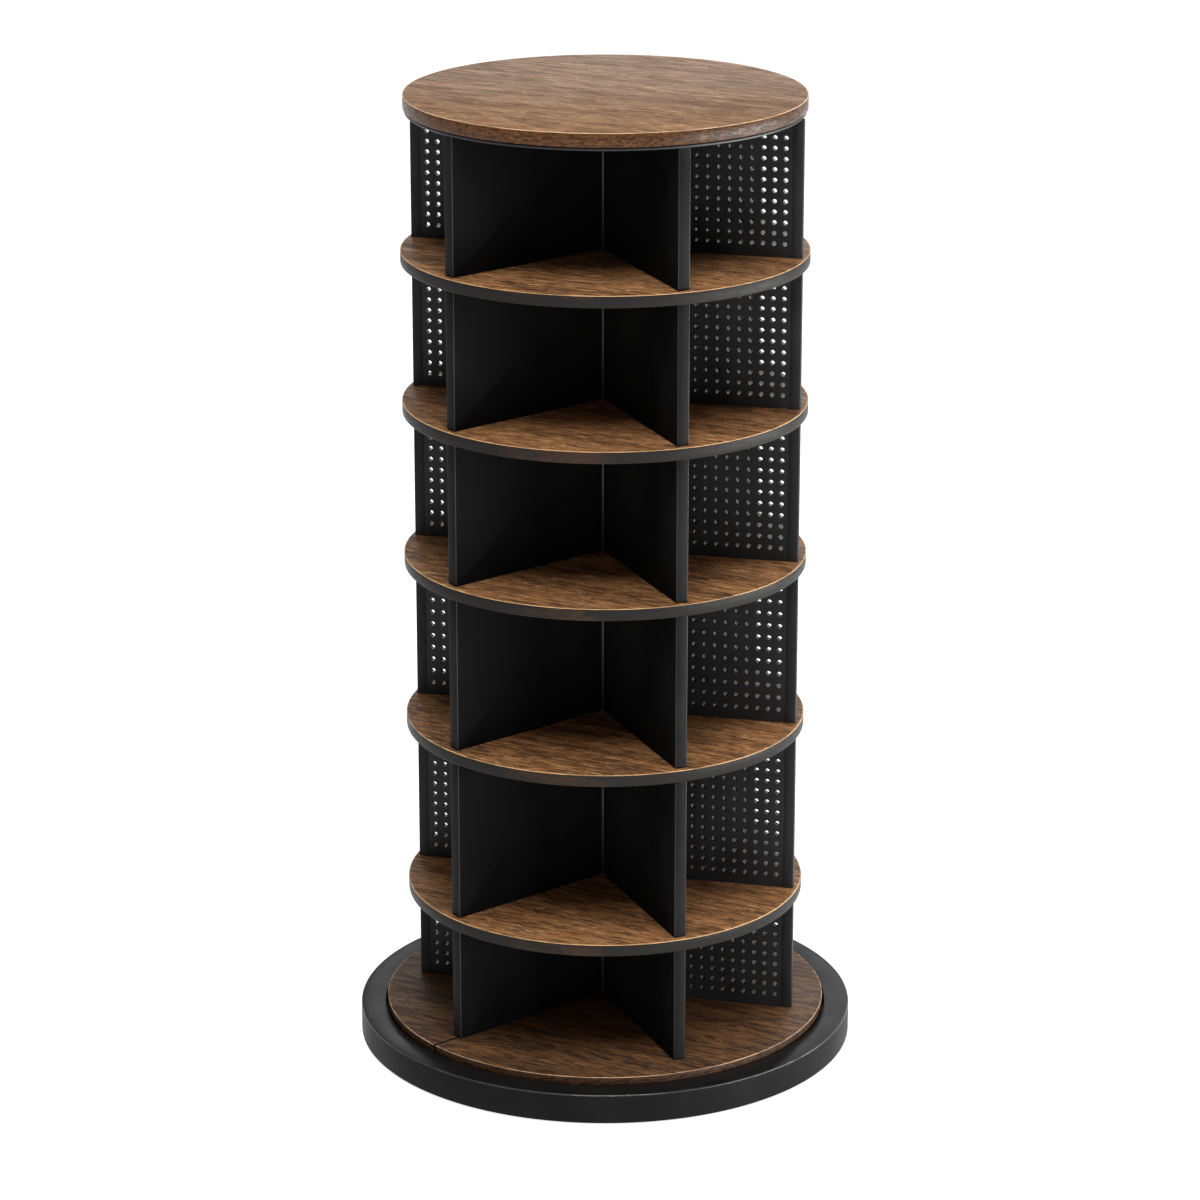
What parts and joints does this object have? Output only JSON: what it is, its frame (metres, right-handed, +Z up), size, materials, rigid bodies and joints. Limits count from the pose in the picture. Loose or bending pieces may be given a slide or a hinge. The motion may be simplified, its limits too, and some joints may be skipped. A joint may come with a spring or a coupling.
{
  "type": "rotating shelf tower",
  "caption": "Round rotating shelf tower: stacked wooden shelves with black spoke dividers and perforated boards, on a ball turntable in a black base ring.",
  "frame": {"origin": "on the floor, on the tower's axis of rotation, in the middle of the base ring", "axes": "+Z up along the post, X along the perforated boards, so that the wide bays face +Y and -Y"},
  "size_m": [0.6259, 0.626, 1.216],
  "materials": {
    "top_wood": "rustic brown wood grain, matt",
    "shelf_wood": "rustic brown wood grain, matt, with a black edge",
    "bottom_wood": "rustic brown wood grain, matt, with a dark edge",
    "black_board": "matt black laminate",
    "perforated_board": "matt black lacquer",
    "black_plate": "matt black lacquer",
    "black_base": "satin black lacquer",
    "base_board": "plain black board",
    "post_steel": "satin dark grey",
    "race_steel": "zinc plated pressed steel",
    "zinc_steel": "bright zinc plated steel",
    "ball_steel": "polished steel",
    "cage_plastic": "natural nylon",
    "rubber": "black rubber"
  },
  "bodies": {
    "base": {"foot_pads": "rubber", "base_floor": "base_board", "base_ring": "black_base", "bearing_lower_plate": "race_steel", "bearing_lower_screws": "zinc_steel"},
    "ball_cage": {"bearing_cage": "cage_plastic", "bearing_balls": "ball_steel"},
    "tower": {"bearing_upper_plate": "race_steel", "bearing_upper_screws": "zinc_steel", "bottom_disc_back": "bottom_wood", "bottom_disc_front": "bottom_wood", "tier_1_perforated_right": "perforated_board", "tier_1_divider_back_right": "black_board", "tier_1_divider_back_left": "black_board", "tier_1_perforated_left": "perforated_board", "tier_1_divider_front_left": "black_board", "tier_1_divider_front_right": "black_board", "tier_2_perforated_right": "perforated_board", "tier_2_divider_back_right": "black_board", "tier_2_divider_back_left": "black_board", "tier_2_perforated_left": "perforated_board", "tier_2_divider_front_left": "black_board", "tier_2_divider_front_right": "black_board", "tier_3_perforated_right": "perforated_board", "tier_3_divider_back_right": "black_board", "tier_3_divider_back_left": "black_board", "tier_3_perforated_left": "perforated_board", "tier_3_divider_front_left": "black_board", "tier_3_divider_front_right": "black_board", "tier_4_perforated_right": "perforated_board", "tier_4_divider_back_right": "black_board", "tier_4_divider_back_left": "black_board", "tier_4_perforated_left": "perforated_board", "tier_4_divider_front_left": "black_board", "tier_4_divider_front_right": "black_board", "tier_5_perforated_right": "perforated_board", "tier_5_divider_back_right": "black_board", "tier_5_divider_back_left": "black_board", "tier_5_perforated_left": "perforated_board", "tier_5_divider_front_left": "black_board", "tier_5_divider_front_right": "black_board", "tier_6_perforated_right": "perforated_board", "tier_6_divider_back_right": "black_board", "tier_6_divider_back_left": "black_board", "tier_6_perforated_left": "perforated_board", "tier_6_divider_front_left": "black_board", "tier_6_divider_front_right": "black_board", "shelf_1": "shelf_wood", "shelf_2": "shelf_wood", "shelf_3": "shelf_wood", "shelf_4": "shelf_wood", "shelf_5": "shelf_wood", "centre_post": "post_steel", "tie_rod": "zinc_steel", "tie_rod_nuts": "zinc_steel", "tie_rod_washers": "zinc_steel", "top_plate": "black_plate", "top_plate_screws": "zinc_steel", "top_disc": "top_wood"}
  },
  "joints": [
    {"name": "tower_spin", "type": "hinge", "parent": "base", "child": "tower", "pos_m": [0, 0, 0.0265], "axis": [0, 0, 1], "continuous": true},
    {"name": "cage_spin", "type": "hinge", "parent": "base", "child": "ball_cage", "pos_m": [0, 0, 0.0265], "axis": [0, 0, 1], "continuous": true}
  ],
  "couplings": [
    {"joint": "cage_spin", "follows": "tower_spin", "ratio": 0.5}
  ]
}
